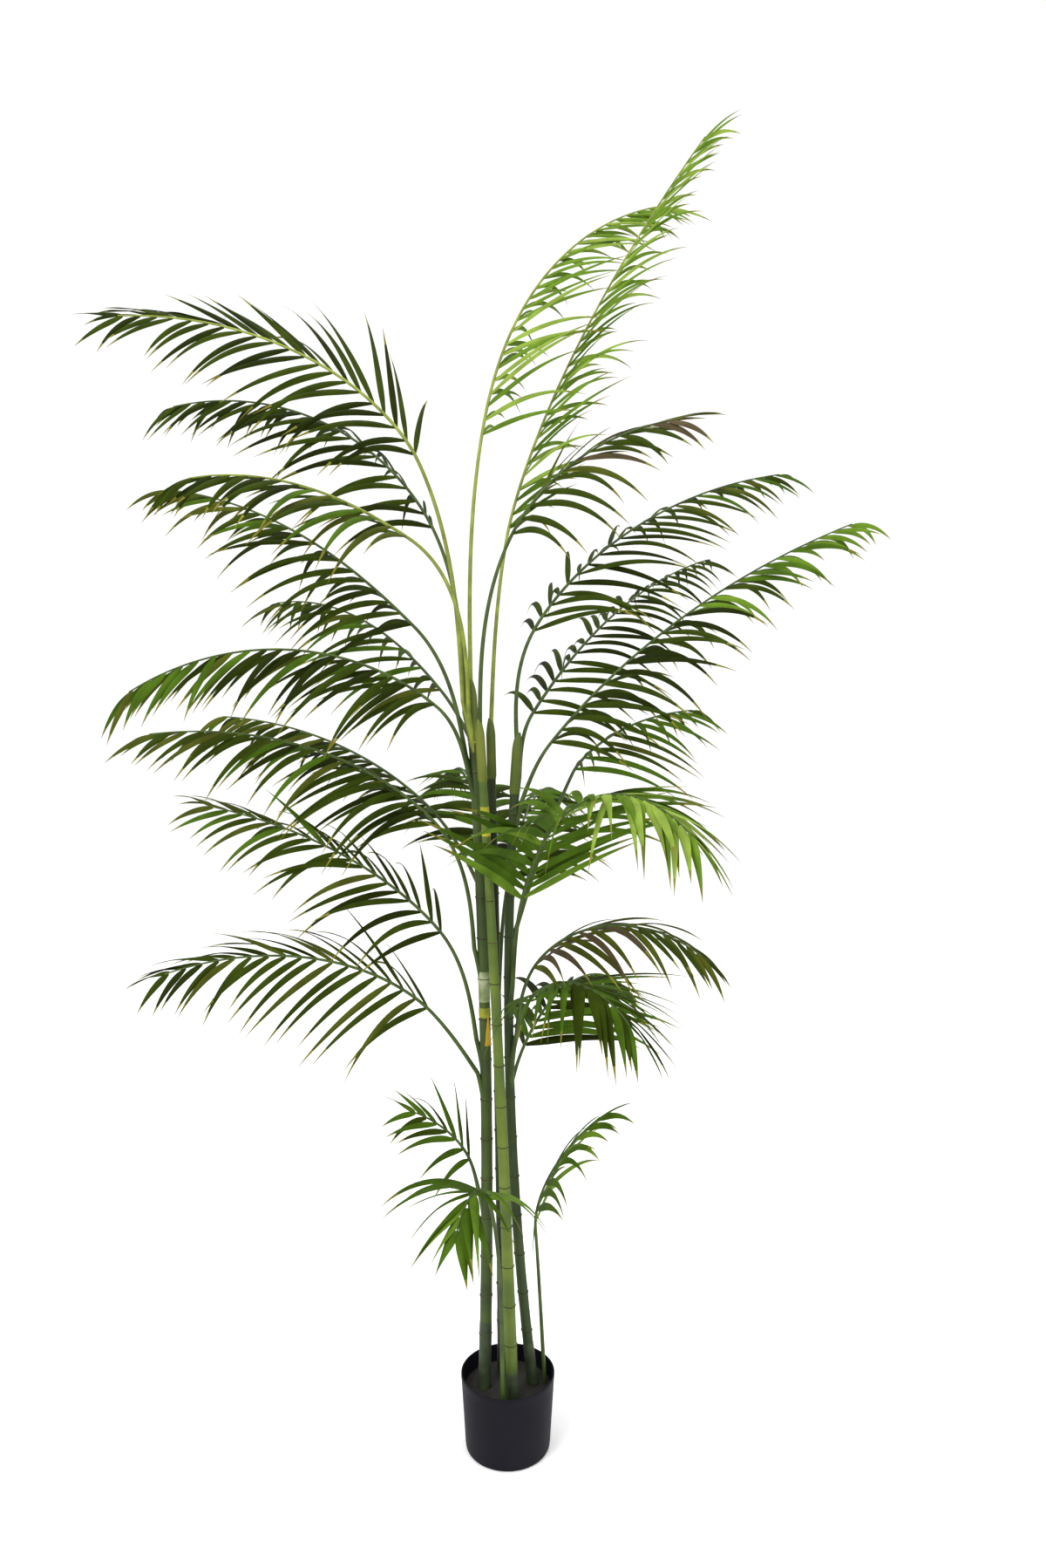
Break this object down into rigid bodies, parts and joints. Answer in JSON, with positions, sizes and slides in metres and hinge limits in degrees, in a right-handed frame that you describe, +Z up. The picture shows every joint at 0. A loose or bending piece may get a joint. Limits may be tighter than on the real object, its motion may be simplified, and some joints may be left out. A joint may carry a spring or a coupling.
{
  "type": "artificial potted areca palm",
  "caption": "Tall artificial areca palm: slim ringed canes in a small round black pot, with long arching feathered fronds.",
  "frame": {"origin": "centre of the pot's flat underside, where the plant stands", "axes": "+Z up along the canes, -Y towards the viewer of the picture, +X to the viewer's right"},
  "size_m": [1.4831, 1.1335, 2.4267],
  "materials": {
    "pot": "moulded black plastic, satin",
    "filling": "dark rough cement",
    "cane": "ringed green plastic cane, satin",
    "stalk": "yellow-green moulded stalk, satin",
    "frond": "printed leaf cloth, olive green"
  },
  "bodies": {
    "root": {"cane_back": "cane", "cane_front": "cane", "cane_left": "cane", "cane_right": "cane", "filling": "filling", "frond_01_blade": "frond", "frond_01_stalk": "stalk", "frond_02_blade": "frond", "frond_02_stalk": "stalk", "frond_03_blade": "frond", "frond_03_stalk": "stalk", "frond_04_blade": "frond", "frond_04_stalk": "stalk", "frond_05_blade": "frond", "frond_05_stalk": "stalk", "frond_06_blade": "frond", "frond_06_stalk": "stalk", "frond_07_blade": "frond", "frond_07_stalk": "stalk", "frond_08_blade": "frond", "frond_08_stalk": "stalk", "frond_09_blade": "frond", "frond_09_stalk": "stalk", "frond_10_blade": "frond", "frond_10_stalk": "stalk", "frond_11_blade": "frond", "frond_11_stalk": "stalk", "frond_12_blade": "frond", "frond_12_stalk": "stalk", "frond_13_blade": "frond", "frond_13_stalk": "stalk", "frond_14_blade": "frond", "frond_14_stalk": "stalk", "frond_15_blade": "frond", "frond_15_stalk": "stalk", "frond_16_blade": "frond", "frond_16_stalk": "stalk", "frond_17_blade": "frond", "frond_17_stalk": "stalk", "frond_18_blade": "frond", "frond_18_stalk": "stalk", "frond_19_blade": "frond", "frond_19_stalk": "stalk", "frond_20_blade": "frond", "frond_20_stalk": "stalk", "frond_21_blade": "frond", "frond_21_stalk": "stalk", "frond_22_blade": "frond", "frond_22_stalk": "stalk", "frond_23_blade": "frond", "frond_23_stalk": "stalk", "frond_24_blade": "frond", "frond_24_stalk": "stalk", "pot": "pot", "shoot_left_blade": "frond", "shoot_left_stalk": "stalk", "shoot_right_blade": "frond", "shoot_right_stalk": "stalk"}
  },
  "joints": []
}
